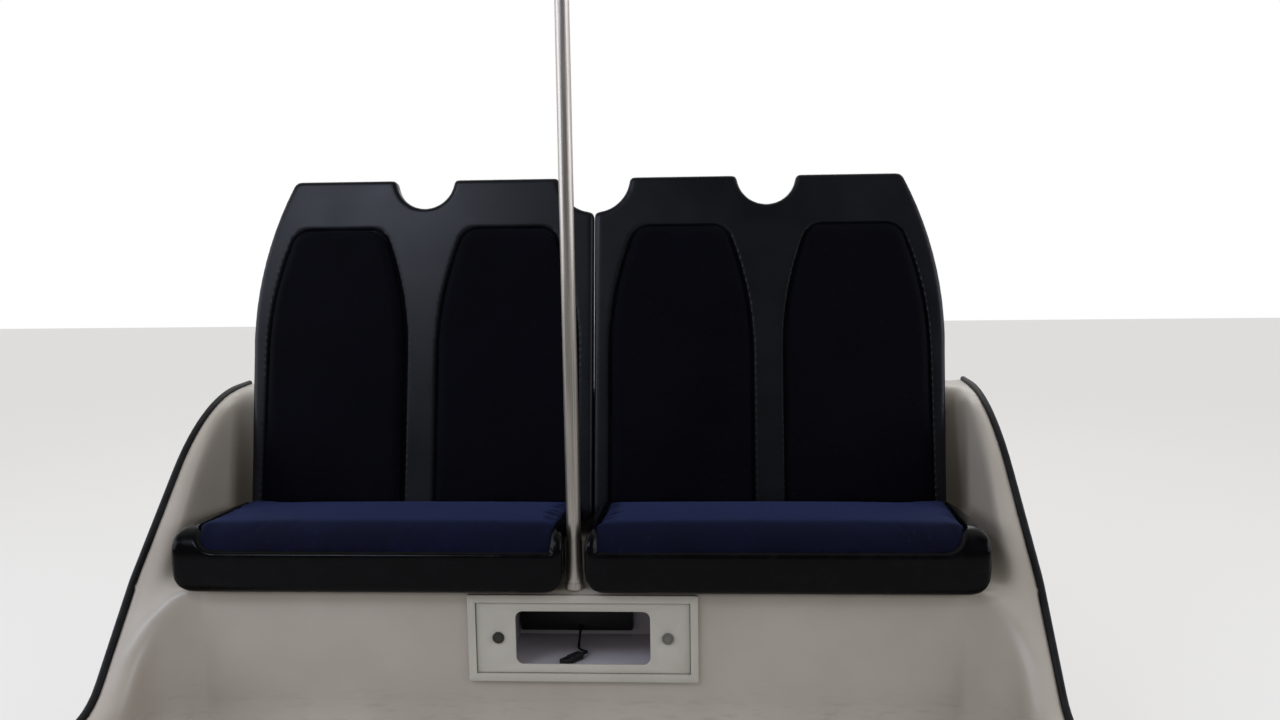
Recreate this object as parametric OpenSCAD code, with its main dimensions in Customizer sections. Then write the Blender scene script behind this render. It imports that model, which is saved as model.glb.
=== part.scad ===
// Four-place bench seat from the end of a driverless shuttle's cabin.
// Two double seats stand in a moulded console: a coved front wall with a lift-off service
// cover, a seat deck, a back wall with its sill, and side wings whose top edge sweeps down
// to the floor in front. A grab pole rises from the deck between the two cushions.
// Millimetres. +X is to the right of someone who faces the bench, +Y runs to its back.

/* [Seats] */
// How far a seat's end reaches past the foot of its backrest shell
cushion_over = 3; // [0:1:10]
// Gap between the two cushions, where the pole stands
centre_gap = 44; // [42:1:60]
// Front face of the cushion to the backrest's face, at the cushion's top
seat_d = 433; // [410:1:450]
// Height of the cushion's top at its rolled front edge
cushion_front_z = 490; // [475:1:505]
// Height of the cushion's top at the backrest
cushion_rear_z = 446; // [436:1:456]
// Radius of the cushion's rolled front edge
cushion_roll_r = 56; // [36:1:60]
// Height of the front lip of the seat pan above the deck
pan_lip_h = 84; // [70:1:92]
// Wall thickness of the seat pan
pan_t = 5; // [4:0.5:8]
// Width of the pan's cheek at the wall side of the bench, in front
outer_cheek = 46; // [36:1:56]
// Width of the same cheek at its rear end
rear_cheek = 8; // [6:1:40]
// Radius where the lip in front turns up into the outer cheek
lip_turn_r = 48; // [20:1:60]
// Width of the pan's cheek at the pole side of the bench
inner_cheek = 16; // [12:1:24]

/* [Backrests] */
// Width of one double backrest shell
shell_w = 855; // [830:1:860]
// How much a shell narrows from its shoulder down to the cushion, at its outer side
shell_flare = 9; // [2:1:14]
// Joint between the two shells
shell_gap = 1.5; // [1:0.5:4]
// Thickness of a shell
shell_t = 40; // [34:1:44]
// Recline from the vertical, in degrees
recline = 13.9; // [12:0.1:15]
// Height of a shell above the cushion's top, along the shell
back_h = 802; // [760:1:820]
// How far the shell runs down behind the cushion
back_drop = 56; // [40:1:60]
// Radius of the rounded edges of a shell
edge_r = 10; // [6:0.5:10.5]
// Radius of the scoop between the two headrests of a shell
scoop_r = 73; // [65:1:80]
// Radius of the scoop at the joint between the shells
joint_scoop_r = 88; // [80:1:96]
// Radius of the long curve of the outer shoulder
shoulder_r = 900; // [850:10:1000]
// Where the shoulder's curve starts, along the shell
shoulder_s = 400; // [370:1:440]
// Radius of the corners where a scoop meets the top
tip_r = 12; // [11:1:16]

/* [Back pads] */
// Border of shell beside the pads
pad_margin = 38; // [32:1:44]
// Strip of shell between the two pads
pad_strip = 74; // [66:1:90]
// How far the top of a pad lies below the top of the shell
pad_top_drop = 124; // [110:1:150]
// Radius of the long curve of a pad's side
pad_side_r = 800; // [700:10:900]
// Where the curve of a pad's side starts, along the shell
pad_side_s = 360; // [330:1:400]
// Radius of a pad's top corners
pad_corner_r = 50; // [40:1:60]
// How far a pad stands out of its shell
pad_proud = 20; // [14:1:24]
// Depth of the pocket in the shell that holds the pad
pocket_d = 8; // [6:1:10]

/* [Console] */
// Height of the seat deck
deck_z = 352; // [330:1:365]
// Front wall behind the front face of the cushions
wall_setback = 40; // [30:1:50]
// Thickness of the moulded skins
skin_t = 6; // [5:0.5:8]
// Space between a backrest shell and the wing beside it
side_gap = 44.25; // [32:0.25:60]
// Width of a wing's top
wing_w = 57; // [54:1:70]
// Space between the shells' backs and the sill
sill_gap = 13; // [8:1:30]
// Radius of a wing's rounded inner edge
rim_r = 42; // [30:1:44]
// Radius of a wing's rounded outer edge
lip_r = 10; // [8:1:12]
// Radius of the deck's rounded front edge
nose_r = 12; // [10:1:16]
// Height of the sill behind the backrests
sill_z = 700; // [670:1:704]
// Depth of the sill
sill_d = 130; // [120:1:150]
// Radius of the cove at the foot of the front wall
cove_r = 100; // [80:1:104]
// Radius of the corner where the front wall turns into the side
corner_r = 106; // [105:1:116]
// Radius of the upright corners behind the seat
tub_turn_r = 62; // [50:1:70]
// How far the side runs forward of the cushions, at the floor
tail_l = 250; // [230:1:280]
// Height of the side's tail
tail_z = 155; // [140:1:170]
// Slope of the wing's falling edge, in degrees
wing_fall = 45; // [42:1:48]
// Lean of the wing's outer side above the deck, inwards, in degrees
wing_lean = 5; // [0:0.5:6]
// Height of the falling edge where it passes the front of the cushions
wing_pass_z = 305; // [290:1:315]
// Radius where the sill level turns into the falling edge
wing_top_r = 480; // [400:10:600]
// Radius where the falling edge runs out into the tail
wing_foot_r = 150; // [120:5:180]
// Depth of the flange round the open side of a wing
flange_h = 30; // [24:1:40]
// Width of the rubber edge seal
seal_w = 15; // [12:1:18]
// Thickness of the rubber edge seal, outwards
seal_t = 10; // [8:1:12]

/* [Service cover] */
// Cover and frame off the middle of the bench
hatch_x = 13; // [-20:1:20]
// Height of the middle of the cover
hatch_z = 250; // [244:1:256]
// Width over the frame
frame_w = 485; // [470:1:500]
// Height over the frame
frame_h = 188; // [180:1:190]
// Width of the frame's border
frame_border = 16; // [14:1:20]
// How far the frame stands out of the wall
frame_proud = 9; // [7:1:12]
// Gap round the cover
cover_gap = 1.5; // [1:0.1:3]
// Thickness of the cover
cover_t = 4; // [3:0.5:5]
// Width of the window in the cover
window_w = 284; // [260:1:300]
// Height of the window in the cover
window_h = 116; // [100:1:120]
// Corner radius of the window
window_r = 16; // [10:1:20]
// Distance between the two quarter-turn locks
lock_pitch = 358; // [340:1:370]
// Radius of a lock's head
lock_r = 12.5; // [10:0.5:14]
// Depth of the recess behind the cover
recess_d = 205; // [180:1:230]

/* [Pole] */
// Outer diameter of the grab pole
pole_d = 30; // [28:1:35]
// Wall of the grab pole
pole_wall = 2; // [1.5:0.5:3]
// Height of the boot round the pole's foot
boot_h = 96; // [60:2:140]
// Pole behind the front face of the cushions
pole_setback = 60; // [58:1:80]
// Pole to the right of the middle of the bench
pole_side = -4; // [-5:1:5]
// Height of the ceiling flange's face above the floor
ceiling_z = 2000; // [1900:10:2100]
// Radius of the ceiling flange
head_r = 42; // [38:1:50]
// Circle of the ceiling flange's bolt holes, across
head_hole_pitch = 60; // [54:1:66]

/* [Fixings] */
// Radius of the floor bolt holes
floor_hole_r = 5.5; // [4.5:0.5:7]
// Distance between the floor bolts along the bench
floor_pitch_x = 1400; // [1300:10:1500]
// Distance between the floor bolts across the bench
floor_pitch_y = 380; // [360:5:400]
// Height of a floor rail
rail_h = 40; // [30:1:50]
// Thickness of the bulkheads under the deck
rib_t = 12; // [9:1:18]
// Distance from the console's front corner to the middle of the first bulkhead
rib_inset = 10; // [8:1:30]
// Distance from the first bulkhead to the next
rib_pitch = 510; // [450:5:560]
// Distance of the seat brackets from the ends of a shell
bracket_inset = 168; // [120:1:200]
// Width of a seat bracket
bracket_w = 50; // [40:1:60]
// Thickness of a seat bracket
bracket_t = 5; // [4:0.5:8]

/* [Hidden] */
$fn = 64;

// Widths that follow from the shells
shell_end = shell_gap / 2 + shell_w;
cushion_w = shell_end - shell_flare + cushion_over - centre_gap / 2;
pad_w = (shell_w - 2 * pad_margin - pad_strip) / 2;
tub_x = shell_end + side_gap;
side_x = tub_x + wing_w;

// Places along Y: the origin is midway between the tails' ends and the sill's back edge
tub_d = seat_d + (sill_z - cushion_rear_z) * tan(recline) + shell_t / cos(recline) + sill_gap;
front_y = (tail_l - tub_d - sill_d) / 2;
tail_y = front_y - tail_l;
wall_y = front_y + wall_setback;
back_y = front_y + tub_d;
rear_y = back_y + sill_d;
pole_y = front_y + pole_setback;
corner_x = tub_x - corner_r;
tub_corner_x = tub_x - tub_turn_r;
tub_cove_r = tub_turn_r - 2;
deck_x = tub_x - tub_cove_r;
join_y = wall_y + nose_r;
fit_gap = 0.3;
far = 3000;

// Extrudes a (y, z) outline along X, from x0 to x1
module along_x(x0, x1)
  translate([x0, 0, 0]) rotate([90, 0, 90]) linear_extrude(x1 - x0) children();

// Extrudes an (x, z) outline along Y, from y0 to y1
module along_y(y0, y1)
  translate([0, y1, 0]) rotate([90, 0, 0]) linear_extrude(y1 - y0) children();

// The same piece on the left side of the bench
module left() mirror([1, 0, 0]) children();

// Rectangle from corner p to corner q, with rounded corners
module round_rect(p, q, r) {
  translate([p[0] + r, p[1]]) square([q[0] - p[0] - 2 * r, q[1] - p[1]]);
  translate([p[0], p[1] + r]) square([q[0] - p[0], q[1] - p[1] - 2 * r]);
  for (x = [p[0] + r, q[0] - r], y = [p[1] + r, q[1] - r])
    translate([x, y]) circle(r);
}

// Points on an arc round c, from angle a0 to a1, in n steps
function arc(c, r, a0, a1, n) =
  [for (i = [0:n]) let (a = a0 + (a1 - a0) * i / n) c + r * [cos(a), sin(a)]];

// The outline p moved inwards by g. It runs anticlockwise and starts in the middle of its foot.
function inset(p, g) = [for (i = [0:len(p) - 1])
  let (n = len(p), d = p[(i + 1) % n] - p[(i + n - 1) % n]) p[i] - g * [d[1], -d[0]] / norm(d)];

// A plate of outline p from z = -t to z = 0, with edges of radius r in front and r_back behind
edge_steps = 4;
module soft_plate(p, t, r, r_back) {
  n = len(p);
  rims = concat(
    [for (j = [0:edge_steps]) let (a = 90 * j / edge_steps) [r_back * (1 - sin(a)), -t + r_back * (1 - cos(a))]],
    [for (j = [0:edge_steps]) let (a = 90 * j / edge_steps) [r * (1 - cos(a)), -r * (1 - sin(a))]]);
  last = len(rims) - 1;
  points = [for (rim = rims) for (q = inset(p, rim[0])) [q[0], q[1], rim[1]]];
  polyhedron(points = points, faces = concat(
    [for (i = [1:n - 2]) [0, i, i + 1]],
    [for (i = [1:n - 2]) [last * n, last * n + i + 1, last * n + i]],
    [for (j = [0:last - 1], i = [0:n - 1]) let (k = (i + 1) % n)
      [j * n + i, (j + 1) * n + i, (j + 1) * n + k, j * n + k]]));
}

// Quarter of a ring of outer radius r and thickness t round c, from angle a to a + 90
module quarter_ring(c, r, t, a) translate(c) rotate(a) intersection() {
  difference() {
    circle(r);
    circle(r - t);
  }
  square(r + 1);
}

// A closed skin through many sections. faces[i] is the line of points along the face of section i,
// backs[i] the line behind it, point for point. A section's line and the way on make a right-hand
// pair with the face's outward side.
module loft(faces, backs) {
  n = len(faces);
  m = len(faces[0]);
  k = 2 * m;
  points = [for (i = [0:n - 1]) each concat(faces[i], [for (j = [m - 1:-1:0]) backs[i][j]])];
  polyhedron(points = points, faces = concat(
    [for (i = [0:n - 2], j = [0:k - 1]) let (a = i * k + j, b = i * k + (j + 1) % k)
      each [[a, a + k, b + k], [a, b + k, b]]],
    [for (j = [0:m - 2]) each [[j, j + 1, k - 2 - j], [j, k - 2 - j, k - 1 - j]]],
    [for (j = [0:m - 2]) let (e = (n - 1) * k)
      each [[e + j, e + k - 2 - j, e + j + 1], [e + j, e + k - 1 - j, e + k - 2 - j]]]));
}

// A wing's edge seen from the side: the sill level, a curve, a straight fall, a curve and the tail.
// corner_a and corner_b are where the straight lines would meet.
fall_turn = wing_fall / 2;
corner_a = [front_y + (sill_z - wing_pass_z) / tan(wing_fall), sill_z];
corner_b = [front_y + (tail_z - wing_pass_z) / tan(wing_fall), tail_z];
top_c = [corner_a[0] + wing_top_r * tan(fall_turn), sill_z - wing_top_r];
foot_c = [corner_b[0] - wing_foot_r * tan(fall_turn), tail_z + wing_foot_r];
fall_y0 = foot_c[0] + wing_foot_r * sin(wing_fall);
fall_y1 = top_c[0] - wing_top_r * sin(wing_fall);
function edge_z(y) =
  y < foot_c[0] ? tail_z
  : y < fall_y0 ? foot_c[1] - sqrt(pow(wing_foot_r, 2) - pow(y - foot_c[0], 2))
  : y < fall_y1 ? wing_pass_z + (y - front_y) * tan(wing_fall)
  : y < top_c[0] ? top_c[1] + sqrt(pow(wing_top_r, 2) - pow(y - top_c[0], 2))
  : sill_z;

// Outer side of a wing where its edge has height g, and where along Y its lean begins
lean_z = deck_z + 8;
lean_y = front_y + (lean_z - wing_pass_z) / tan(wing_fall);
function side_at(g) = side_x - max(0, g - lean_z) * tan(wing_lean);

// Values between a and b, in n steps
function steps(a, b, n) = [for (i = [0:n]) a + (b - a) * i / n];

// Where the edge turns, with points between
edge_ys = concat([tail_y], steps(foot_c[0], fall_y0, 6), [lean_y], steps(fall_y1, top_c[0], 14), [rear_y]);

// Section of the front wall: x is the distance in front of its face, y the height
module wall_section(top) {
  cz = cove_r + skin_t;
  translate([-skin_t, cz]) square([skin_t, top - cz]);
  intersection() {
    translate([cove_r, cz]) difference() {
      circle(cove_r + skin_t);
      circle(cove_r);
    }
    translate([-skin_t, 0]) square([cove_r + skin_t, cz]);
  }
  translate([cove_r, 0]) square([4, skin_t]);
}

module front_wall() color("antiquewhite") difference() {
  translate([0, wall_y, 0]) along_x(-corner_x, corner_x)
    mirror([1, 0]) wall_section(deck_z - nose_r);
  along_y(wall_y - skin_t, wall_y + 2 * skin_t)
    translate([hatch_x, hatch_z])
      square([frame_w - 2 * frame_border + 9, frame_h - 2 * frame_border + 9], center = true);
}

// Where the front wall turns forward into the side, and the side's tail: a solid block whose face
// goes on from the tub's side wall and whose top follows the wing's edge, with the same rounded rim
turn_c = [corner_x, wall_y - corner_r];
cove_steps = 8;
rim_steps = 7;
rise_w = tub_turn_r + 18;
function rise(x) = let (u = min(1, max(0, (x - tub_x + rise_w) / rise_w))) u * u * (3 - 2 * u);
function block_z(p) = deck_z + (edge_z(p[1]) - deck_z) * rise(p[0]);
// The face line at foot point c, outwards along d, from the cove at the floor over the rim of
// radius n to the outer edge at distance w behind the wall's face, with a lip of radius l there
function block_face(c, d, w, l, n) =
  let (out = corner_r + w, r0 = min(n, w - l - 0.5),
       at = function(r, z) [c[0] + r * d[0], c[1] + r * d[1], z],
       top = function(r) block_z(c + r * d),
       wall_top = top(corner_r + r0) - r0)
  concat(
    [at(corner_r - cove_r - 4, 0), at(corner_r - cove_r - 4, skin_t)],
    [for (i = [0:cove_steps]) let (a = 90 * i / cove_steps)
      at(corner_r - cove_r * (1 - sin(a)), skin_t + cove_r * (1 - cos(a)))],
    [for (i = [0:rim_steps]) let (a = 90 * i / rim_steps)
      at(corner_r + r0 * (1 - cos(a)), wall_top + r0 * sin(a))],
    [for (i = [1:4]) let (r = corner_r + r0 + (w - l - r0) * i / 4) at(r, top(r))],
    [for (i = [1:4]) let (a = 90 * i / 4) at(out - l * (1 - sin(a)), top(out - l) - l * (1 - cos(a)))]);
// The line behind it runs straight up the outer side
function block_back(face, c, d, w) =
  let (m = len(face), n_low = 3 + cove_steps, z0 = face[n_low][2], z1 = face[m - 1][2] - 2)
  [for (j = [0:m - 1]) let (z = j < 2 ? j : j < n_low ? face[j][2] - skin_t + 2
      : min(z0, z1 - 20) + (z1 - min(z0, z1 - 20)) * (j - n_low) / (m - 1 - n_low))
    [c[0] + (corner_r + w) * d[0], c[1] + (corner_r + w) * d[1], z]];

module corner_right() color("antiquewhite") {
  wide = side_x - turn_c[0];
  deep = join_y - turn_c[1];
  break_a = atan(deep / wide);
  angles = concat(steps(90, break_a, 9), [break_a - 0.5], steps(break_a - 6, 0, 6));
  turns = [for (a = angles) [turn_c, [cos(a), sin(a)],
    a >= break_a ? deep / sin(a) - corner_r : wide / cos(a) - corner_r,
    a >= break_a ? 0.5 : lip_r, nose_r + (rim_r - nose_r) * pow(cos(a), 2)]];
  tail_ys = concat(steps(turn_c[1] - 12, foot_c[0], 6), [tail_y]);
  tails = [for (y = tail_ys) [[turn_c[0], y], [1, 0], wide - corner_r, lip_r, rim_r]];
  sections = concat(turns, tails);
  faces = [for (q = sections) block_face(q[0], q[1], q[2], q[3], q[4])];
  loft([for (i = [len(faces) - 1:-1:0]) faces[i]],
       [for (i = [len(faces) - 1:-1:0]) let (q = sections[i]) block_back(faces[i], q[0], q[1], q[2])]);
}

module seat_deck() color("antiquewhite") {
  along_x(-corner_x, corner_x)
    quarter_ring([wall_y + nose_r, deck_z - nose_r], nose_r, skin_t, 90);
  along_x(-deck_x, deck_x)
    translate([join_y, deck_z - skin_t]) square([back_y - tub_cove_r - join_y, skin_t]);
}

// Section of the tub behind the front wall, as points [outwards from the tub's wall, height]: the
// cove from the deck, the wall, the rounded rim at height h, the top and the lip at distance w and
// height g. Where the rim is too low for both curves, they flatten.
function rim_of(w) = min(rim_r, 0.72 * w);
function lip_of(w) = min(lip_r, 0.2 * w);
function flat_part(h, w) = min(1, (h - deck_z - 0.5) / (tub_cove_r + rim_of(w)));
function tub_face(h, w, g) = let (k = flat_part(h, w), r = rim_of(w), l = lip_of(w)) concat(
  [for (i = [0:cove_steps]) let (a = 90 * i / cove_steps)
    [-tub_cove_r * (1 - sin(a)), deck_z + k * tub_cove_r * (1 - cos(a))]],
  [for (i = [0:rim_steps]) let (a = 90 * i / rim_steps)
    [r * (1 - cos(a)), h - k * r * (1 - sin(a))]],
  [for (i = [0:4]) let (a = 90 * i / 4) [w - l * (1 - sin(a)), g - l * (1 - cos(a))]],
  [[w, g - flange_h]]);
function tub_back(h, w, g) = let (k = flat_part(h, w), p = tub_face(h, w, g), m = len(p)) [
  for (j = [0:m - 1]) let (
    a = j <= cove_steps ? 90 * j / cove_steps : 90 * (j - cove_steps - 1) / rim_steps,
    v = j <= cove_steps ? [k * sin(a), -max(cos(a), 1 - k)]
      : j <= cove_steps + 1 + rim_steps ? [k * cos(a), -max(sin(a), 1 - k)]
      : j == m - 1 ? [-1, 0] : let (b = 90 * (j - m + 6) / 4) [-sin(b), -cos(b)])
  p[j] + skin_t * v / norm(v)];

module back_wall() color("antiquewhite") {
  h = edge_z(back_y + rim_r);
  face = tub_face(h, sill_d, sill_z);
  back = tub_back(h, sill_d, sill_z);
  n = len(face);
  along_x(-tub_corner_x, tub_corner_x) translate([back_y, 0])
    polygon(concat([for (j = [0:n - 1]) back[j]], [for (j = [n - 1:-1:0]) face[j]]));
}

// A side wing with the tub's back corner
wing_ys = concat([join_y], steps(join_y + 14, fall_y1, 12), steps(fall_y1 + 18, back_y - tub_turn_r, 14));
module wing_right() color("antiquewhite") {
  turn = [tub_corner_x, back_y - tub_turn_r];
  wide = side_at(sill_z) - turn[0];
  deep = rear_y - turn[1];
  break_a = atan(deep / wide);
  angles = concat(steps(6, break_a, 7), steps(break_a + 5, 90, 4));
  runs = concat(
    [for (y = wing_ys) let (g = edge_z(y)) [[turn[0], y], [1, 0], side_at(g) - tub_x, g]],
    [for (a = angles) let (g = edge_z(turn[1] + min(deep, wide * tan(min(a, 89)))))
      [turn, [cos(a), sin(a)], (a <= break_a ? (side_at(g) - turn[0]) / cos(a) : deep / sin(a)) - tub_turn_r, g]]);
  sections = [for (q = runs) let (h = edge_z(q[0][1] + (tub_turn_r + rim_of(q[2])) * q[1][1]))
    [q, tub_face(h, q[2], q[3]), tub_back(h, q[2], q[3])]];
  faces = [for (e = sections) [for (p = e[1]) let (r = tub_turn_r + p[0])
    [e[0][0][0] + r * e[0][1][0], e[0][0][1] + r * e[0][1][1], p[1]]]];
  backs = [for (e = sections) [for (p = e[2]) let (r = tub_turn_r + p[0])
    [e[0][0][0] + r * e[0][1][0], e[0][0][1] + r * e[0][1][1], p[1]]]];
  loft(faces, backs);
}

// The rubber strip along the edge. Its section is [outwards from the side, down from the edge].
seal_face = [[0.4, -0.3], [0.5, -0.4], [0.85, -0.32], [1, -0.1], [1, 0.6], [0.85, 0.82], [0.5, 0.9], [0.4, 0.8]];
module seal_right() color("#141414") {
  sections = [for (i = [0:len(edge_ys) - 1]) let (
      y = edge_ys[i], a = edge_ys[max(i - 1, 0)], b = edge_ys[min(i + 1, len(edge_ys) - 1)],
      d = [b - a, edge_z(b) - edge_z(a)] / norm([b - a, edge_z(b) - edge_z(a)]))
    [[side_at(edge_z(y)) + fit_gap, y, edge_z(y)], [0, d[1], -d[0]]]];
  loft([for (e = sections) [for (q = seal_face) e[0] + [q[0] * seal_t, 0, 0] + q[1] * seal_w * e[1]]],
       [for (e = sections) [for (k = [0:7]) e[0] + seal_w * (-0.28 + 1.06 * k / 7) * e[1]]]);
}

module bulkheads() color("lightgrey")
  for (side = [-1, 1], i = [0, 1]) {
    x = side * (corner_x - rib_inset - i * rib_pitch);
    along_x(x - rib_t / 2, x + rib_t / 2) difference() {
      translate([wall_y + skin_t, 0]) square([back_y - wall_y - skin_t, deck_z - skin_t]);
      translate([wall_y, deck_z - nose_r]) square(nose_r);
      for (y = rail_ys)
        translate([y - rail_h / 2 - 1, -1]) square([rail_h + 2, rail_h + 1]);
    }
  }

rail_inset = 20;
rail_ys = [front_y + tub_d / 2 - floor_pitch_y / 2, front_y + tub_d / 2 + floor_pitch_y / 2];
module floor_rails() color("silver")
  for (y = rail_ys) difference() {
    along_x(rail_inset - tub_x, tub_x - rail_inset) union() {
      translate([y - rail_h / 2, 0]) square([rail_h, 4]);
      translate([y + rail_h / 2 - 4, 0]) square([4, rail_h]);
    }
    for (x = [-floor_pitch_x / 2, floor_pitch_x / 2])
      translate([x, y - 4, -1]) cylinder(r = floor_hole_r, h = rail_h);
  }

// The fixed frame round the cover, with the collar that reaches through the wall
module hatch_frame() color("gainsboro") {
  w = frame_w / 2;
  h = frame_h / 2;
  b = frame_border;
  lip = 9;
  translate([hatch_x, 0, hatch_z]) {
    along_y(wall_y - frame_proud, wall_y) difference() {
      round_rect([-w, -h], [w, h], 5);
      square([2 * (w - b), 2 * (h - b)], center = true);
    }
    along_y(wall_y, wall_y + skin_t + 2) difference() {
      square([2 * (w - b + 4), 2 * (h - b + 4)], center = true);
      square([2 * (w - b - lip), 2 * (h - b - lip)], center = true);
    }
  }
}

cover_w = frame_w - 2 * frame_border - 2 * cover_gap;
cover_h = frame_h - 2 * frame_border - 2 * cover_gap;
cover_y = wall_y - fit_gap - cover_t;
module hatch_cover() color("gainsboro")
  translate([hatch_x, 0, hatch_z]) along_y(cover_y, cover_y + cover_t) difference() {
    square([cover_w, cover_h], center = true);
    round_rect([-window_w / 2, -window_h / 2], [window_w / 2, window_h / 2], window_r);
    for (x = [-lock_pitch / 2, lock_pitch / 2])
      translate([x, 0]) circle(lock_r - 3);
  }

module hatch_locks() color("dimgray")
  for (x = [-lock_pitch / 2, lock_pitch / 2])
    translate([hatch_x + x, cover_y, hatch_z]) rotate([90, 0, 0]) {
      difference() {
        cylinder(r = lock_r, h = 3);
        translate([-lock_r, -1.2, 1.5]) cube([2 * lock_r, 2.4, 2]);
      }
      translate([0, 0, -cover_t]) cylinder(r = lock_r - 3, h = cover_t);
    }

// Open-fronted box behind the cover
recess_w = window_w + 56;
recess_h = window_h + 34;
recess_y = wall_y + skin_t + 2;
recess_floor = hatch_z - recess_h / 2 + 3;
module recess_box() color("darkgray") {
  w = recess_w / 2;
  h = recess_h / 2;
  translate([hatch_x, 0, hatch_z]) difference() {
    union() {
      along_y(recess_y, recess_y + recess_d) square([2 * w, 2 * h], center = true);
      along_y(recess_y, recess_y + 3) square([2 * w + 60, 2 * h + 4], center = true);
    }
    translate([-w + 3, recess_y - 1, -h + 3]) cube([2 * w - 6, recess_d - 3 + 1, 2 * h - 6]);
  }
}

// Black box at the back of the recess, where the lead comes out
cable_box_w = 255;
cable_box_d = 26;
cable_box_x = hatch_x - 34;
cable_box_y = recess_y + recess_d - 3 - cable_box_d;
relief_l = 8;
module cable_box() color("#101010") {
  translate([cable_box_x, 0, recess_floor + 18])
    along_y(cable_box_y, cable_box_y + cable_box_d)
      round_rect([-cable_box_w / 2, 0], [cable_box_w / 2, recess_h - 6 - 18 - 8], 6);
  // the tapered strain relief round the lead
  translate(lead_points[0]) rotate([90, 0, 0]) difference() {
    translate([0, 0, -1]) cylinder(r1 = lead_d / 2 + 4.5, r2 = lead_d / 2 + 1, h = relief_l + 1);
    cylinder(r = lead_d / 2 + fit_gap, h = relief_l + 1);
  }
}

// The lead falls from the box to the recess floor and turns into its plug: across, forwards of the
// box, above the floor
lead_d = 5;
lead_route = [
  [-24, 0, 25.5], [-24, 5.7, 25.5], [-24, 11.3, 25.3], [-24, 17, 24.1], [-24, 22.7, 22.2],
  [-24, 28.3, 19.6], [-24, 34, 16.6], [-24, 39.7, 13.4], [-24, 45.3, 10.3], [-24, 51, 7.6],
  [-24, 56.7, 5.3], [-23.7, 62.3, 3.8], [-22.7, 67.8, 3.2], [-20.7, 73.1, 3.2], [-17.8, 77.8, 3.2],
  [-14, 82, 3.2], [-9.7, 85.6, 3.6], [-5.5, 89.4, 4.5], [-2.5, 93.9, 5.6], [-1.1, 99.2, 6.7],
  [-1.6, 104.7, 7.6], [-3.7, 109.8, 8.2], [-7.2, 114, 8.3]];
lead_points = [for (q = lead_route) [hatch_x + q[0], cable_box_y - q[1], recess_floor + q[2]]];
module lead() color("#141414") tube(lead_points, lead_d / 2);

// A tube of radius r along the points p
tube_sides = 10;
module tube(p, r) {
  n = len(p);
  points = [for (i = [0:n - 1]) let (
      d = p[min(i + 1, n - 1)] - p[max(i - 1, 0)], t = d / norm(d),
      u = cross([0, 0, 1], t) / norm(cross([0, 0, 1], t)), v = cross(t, u))
    for (k = [0:tube_sides - 1]) let (a = 360 * k / tube_sides) p[i] + r * (cos(a) * u + sin(a) * v)];
  polyhedron(points = points, faces = concat(
    [[for (k = [0:tube_sides - 1]) tube_sides - 1 - k]],
    [[for (k = [0:tube_sides - 1]) (n - 1) * tube_sides + k]],
    [for (i = [0:n - 2], k = [0:tube_sides - 1]) let (m = (k + 1) % tube_sides)
      [i * tube_sides + k, i * tube_sides + m, (i + 1) * tube_sides + m, (i + 1) * tube_sides + k]]));
}

// The plug at the lead's end lies on the recess floor: a square body with a sleeve for the lead
plug_l = 56;
plug_w = 20;
plug_h = 16;
sleeve_l = 8;
module lead_plug() color("#101010") {
  end = lead_points[len(lead_points) - 1];
  way = end - lead_points[len(lead_points) - 2];
  translate([end[0], end[1], recess_floor + fit_gap + plug_h / 2]) rotate([0, 0, atan2(way[1], way[0])]) {
    translate([fit_gap, 0, 0]) rotate([0, 90, 0]) cylinder(r1 = lead_d / 2 + 1, r2 = lead_d / 2 + 2.5, h = sleeve_l);
    translate([sleeve_l, -plug_w / 2, -plug_h / 2]) cube([plug_l, plug_w, plug_h]);
  }
}

// A seat's outline from the side: flat foot, rolled front, and a top that falls to the back
seat_tilt = atan((cushion_front_z - cushion_rear_z) / (seat_d - cushion_roll_r));
toe_r = 24;
pan_rear = front_y + seat_d - 26;
function seat_side(foot) =
  let (roll_c = [front_y + cushion_roll_r, cushion_front_z - cushion_roll_r], toe_c = [front_y + toe_r, foot + toe_r],
       crest = roll_c + cushion_roll_r * [sin(seat_tilt), cos(seat_tilt)])
  concat([[pan_rear, foot]], arc(toe_c, toe_r, 270, 180, 6), arc(roll_c, cushion_roll_r, 180, 90 - seat_tilt, 10),
         [[pan_rear, crest[1] - (pan_rear - crest[0]) * tan(seat_tilt)]]);

// Ends of a pan seen from the front, with round lower and upper corners
pan_low_r = 48;
pan_high_r = 30;
module pan_front(x0, x1) polygon(concat(
  arc([x0 + pan_low_r, deck_z + pan_low_r], pan_low_r, 180, 270, 8),
  arc([x1 - pan_low_r, deck_z + pan_low_r], pan_low_r, 270, 360, 8),
  arc([x1 - pan_high_r, cushion_front_z - pan_high_r], pan_high_r, 0, 90, 6),
  arc([x0 + pan_high_r, cushion_front_z - pan_high_r], pan_high_r, 90, 180, 6)));

// The cushion's place above the lip and between the cheeks, drawn in by g
lip_z = deck_z + pan_lip_h;
module well(g) translate([0, 0, lip_z + g]) linear_extrude(far)
  polygon([[centre_gap / 2 + inner_cheek + g, front_y - 1], [pan_end - outer_cheek - g, front_y - 1],
           [pan_end - rear_cheek - g, pan_rear + 1], [centre_gap / 2 + inner_cheek + g, pan_rear + 1]]);

// The fillet where the lip turns up into the outer cheek, grown by g
pan_end = centre_gap / 2 + cushion_w;
turn_depth = 40;
module lip_turn(g) {
  c = [pan_end - outer_cheek - lip_turn_r, lip_z + lip_turn_r];
  along_y(front_y - 1, front_y + turn_depth + g) polygon(concat(
    [[c[0], lip_z - 10]], [[pan_end - rear_cheek, lip_z - 10], [pan_end - rear_cheek, c[1] + g]],
    arc(c, lip_turn_r - g, 360, 270, 8)));
}

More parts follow.
